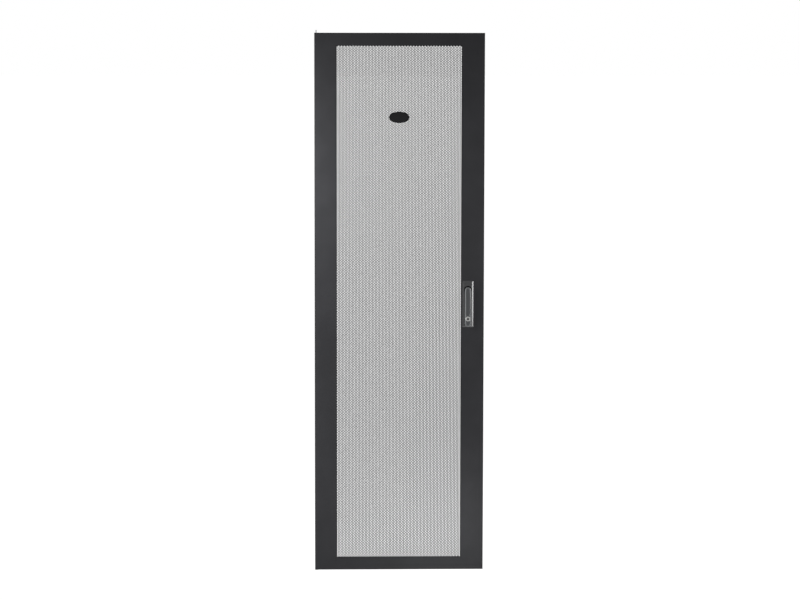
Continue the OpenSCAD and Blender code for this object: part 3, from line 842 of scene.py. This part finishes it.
@dataclass
class Studio:
    """White surroundings, plain soft lamps, the floor and the camera."""

    distance: float = 10.0
    pitch_deg: float = 6.194
    yaw_deg: float = -1.643
    roll_deg: float = 0.088
    view_height: float = 2.1188
    sensor_height: float = 24.0
    aim_right: float = 0.0023
    aim_up: float = 0.0138
    fill: float = 0.12
    fill_color: tuple[float, float, float] = (0.94, 0.97, 1.0)
    floor_size: float = 60.0
    floor_color: float = 0.3
    floor_roughness: float = 0.9
    floor_specular: float = 0.1
    floor_glow: float = 0.97

    def build(self) -> None:
        """Builds the world, the floor, the lamps and the camera."""
        self.world()
        self.floor()
        for lamp in LAMPS:
            lamp.build()
        self.camera()

    def backdrop_rays(self, tree: bpy.types.NodeTree) -> bpy.types.NodeSocket:
        """Returns a socket that is 1 for the camera's rays and for those in gloss or through glass."""
        rays = tree.nodes.new("ShaderNodeLightPath")
        total = rays.outputs["Is Camera Ray"]
        for name in ("Is Glossy Ray", "Is Transmission Ray"):
            either = tree.nodes.new("ShaderNodeMath")
            either.operation = "MAXIMUM"
            tree.links.new(total, either.inputs[0])
            tree.links.new(rays.outputs[name], either.inputs[1])
            total = either.outputs[0]
        return total

    def world(self) -> None:
        """Makes the surroundings white to look at and a soft light on the door."""
        world = bpy.data.worlds.new("studio")
        bpy.context.scene.world = world
        world.use_nodes = True
        tree = world.node_tree
        tree.nodes.clear()
        out = tree.nodes.new("ShaderNodeOutputWorld")
        seen = tree.nodes.new("ShaderNodeBackground")
        seen.inputs["Color"].default_value = WHITE
        seen.inputs["Strength"].default_value = 1.0
        soft = tree.nodes.new("ShaderNodeBackground")
        soft.inputs["Color"].default_value = (*self.fill_color, 1)
        soft.inputs["Strength"].default_value = self.fill
        mix = tree.nodes.new("ShaderNodeMixShader")
        tree.links.new(self.backdrop_rays(tree), mix.inputs[0])
        tree.links.new(soft.outputs[0], mix.inputs[1])
        tree.links.new(seen.outputs[0], mix.inputs[2])
        tree.links.new(mix.outputs[0], out.inputs[0])

    def floor(self) -> None:
        """Makes the pale floor, which looks white but for the door's soft shadow."""
        size = self.floor_size
        around = [(-size, -size, 0), (size, -size, 0), (size, size, 0), (-size, size, 0)]
        floor = MeshParts([np.array(around)], [[0, 1, 2, 3]]).to_object("studio_floor")
        floor.location.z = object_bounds()[0].z
        nodes = Nodes("floor_white")
        shader = nodes.shader
        shader.inputs["Base Color"].default_value = (*[self.floor_color] * 3, 1)
        shader.inputs["Roughness"].default_value = self.floor_roughness
        shader.inputs["Specular IOR Level"].default_value = self.floor_specular
        glow = nodes.add("ShaderNodeEmission")
        glow.inputs["Color"].default_value = WHITE
        strength = nodes.add("ShaderNodeMath", operation="MULTIPLY")
        strength.inputs[1].default_value = self.floor_glow
        nodes.join(self.backdrop_rays(nodes.tree), strength.inputs[0])
        nodes.join(strength.outputs[0], glow.inputs["Strength"])
        both = nodes.add("ShaderNodeAddShader")
        nodes.join(shader.outputs[0], both.inputs[0])
        nodes.join(glow.outputs[0], both.inputs[1])
        nodes.join(both.outputs[0], nodes.tree.nodes["Material Output"].inputs["Surface"])
        floor.data.materials.append(nodes.material)
        floor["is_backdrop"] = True

    def camera(self) -> None:
        """Makes the camera, in front of the door's middle and tipped down a little."""
        low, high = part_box("front_sheet")
        target = Vector(((low.x + high.x) / 2 + self.aim_right, low.y, (low.z + high.z) / 2 + self.aim_up))
        pitch = math.radians(self.pitch_deg)
        yaw = math.radians(self.yaw_deg)
        data = bpy.data.cameras.new("camera")
        data.sensor_fit = "VERTICAL"
        data.sensor_height = self.sensor_height
        data.lens = self.sensor_height * self.distance / self.view_height
        obj = bpy.data.objects.new("camera", data)
        bpy.context.scene.collection.objects.link(obj)
        back = Vector((math.sin(yaw) * math.cos(pitch), -math.cos(yaw) * math.cos(pitch), math.sin(pitch)))
        obj.location = target + back * self.distance
        look = (-back).to_track_quat("-Z", "Y").to_matrix()
        obj.rotation_euler = (look @ Matrix.Rotation(math.radians(self.roll_deg), 3, "Z")).to_euler()
        bpy.context.scene.camera = obj


def corners(box: Sequence[Sequence[float]]) -> list[list[float]]:
    """Returns a box's corners as plain lists."""
    return [[float(value) for value in corner] for corner in box]


def main(frame: dict, cad_box: list[list[float]]) -> None:
    """Builds and dresses the door, then the studio.

    Args:
        cad_box: The solids' box, as plain lists; not used.
    """
    logging.basicConfig(level=logging.INFO, format="%(name)s: %(message)s")
    scene = bpy.context.scene
    scene.view_settings.view_transform = "Standard"
    finishes = Finishes().build()
    PlainNodes(finishes).dress(frame)
    LOG.info("dressed %d solids", len(frame["nodes"]))
    sheet = PunchedSheet()
    strips = sheet.build()
    sheet.dress(finishes, strips)
    LOG.info("punched sheet: %d rows in %d strips", sheet.rows, len(strips))
    Studio().build()


if __name__ == "__main__":
    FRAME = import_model()
    main(FRAME, corners(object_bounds()))
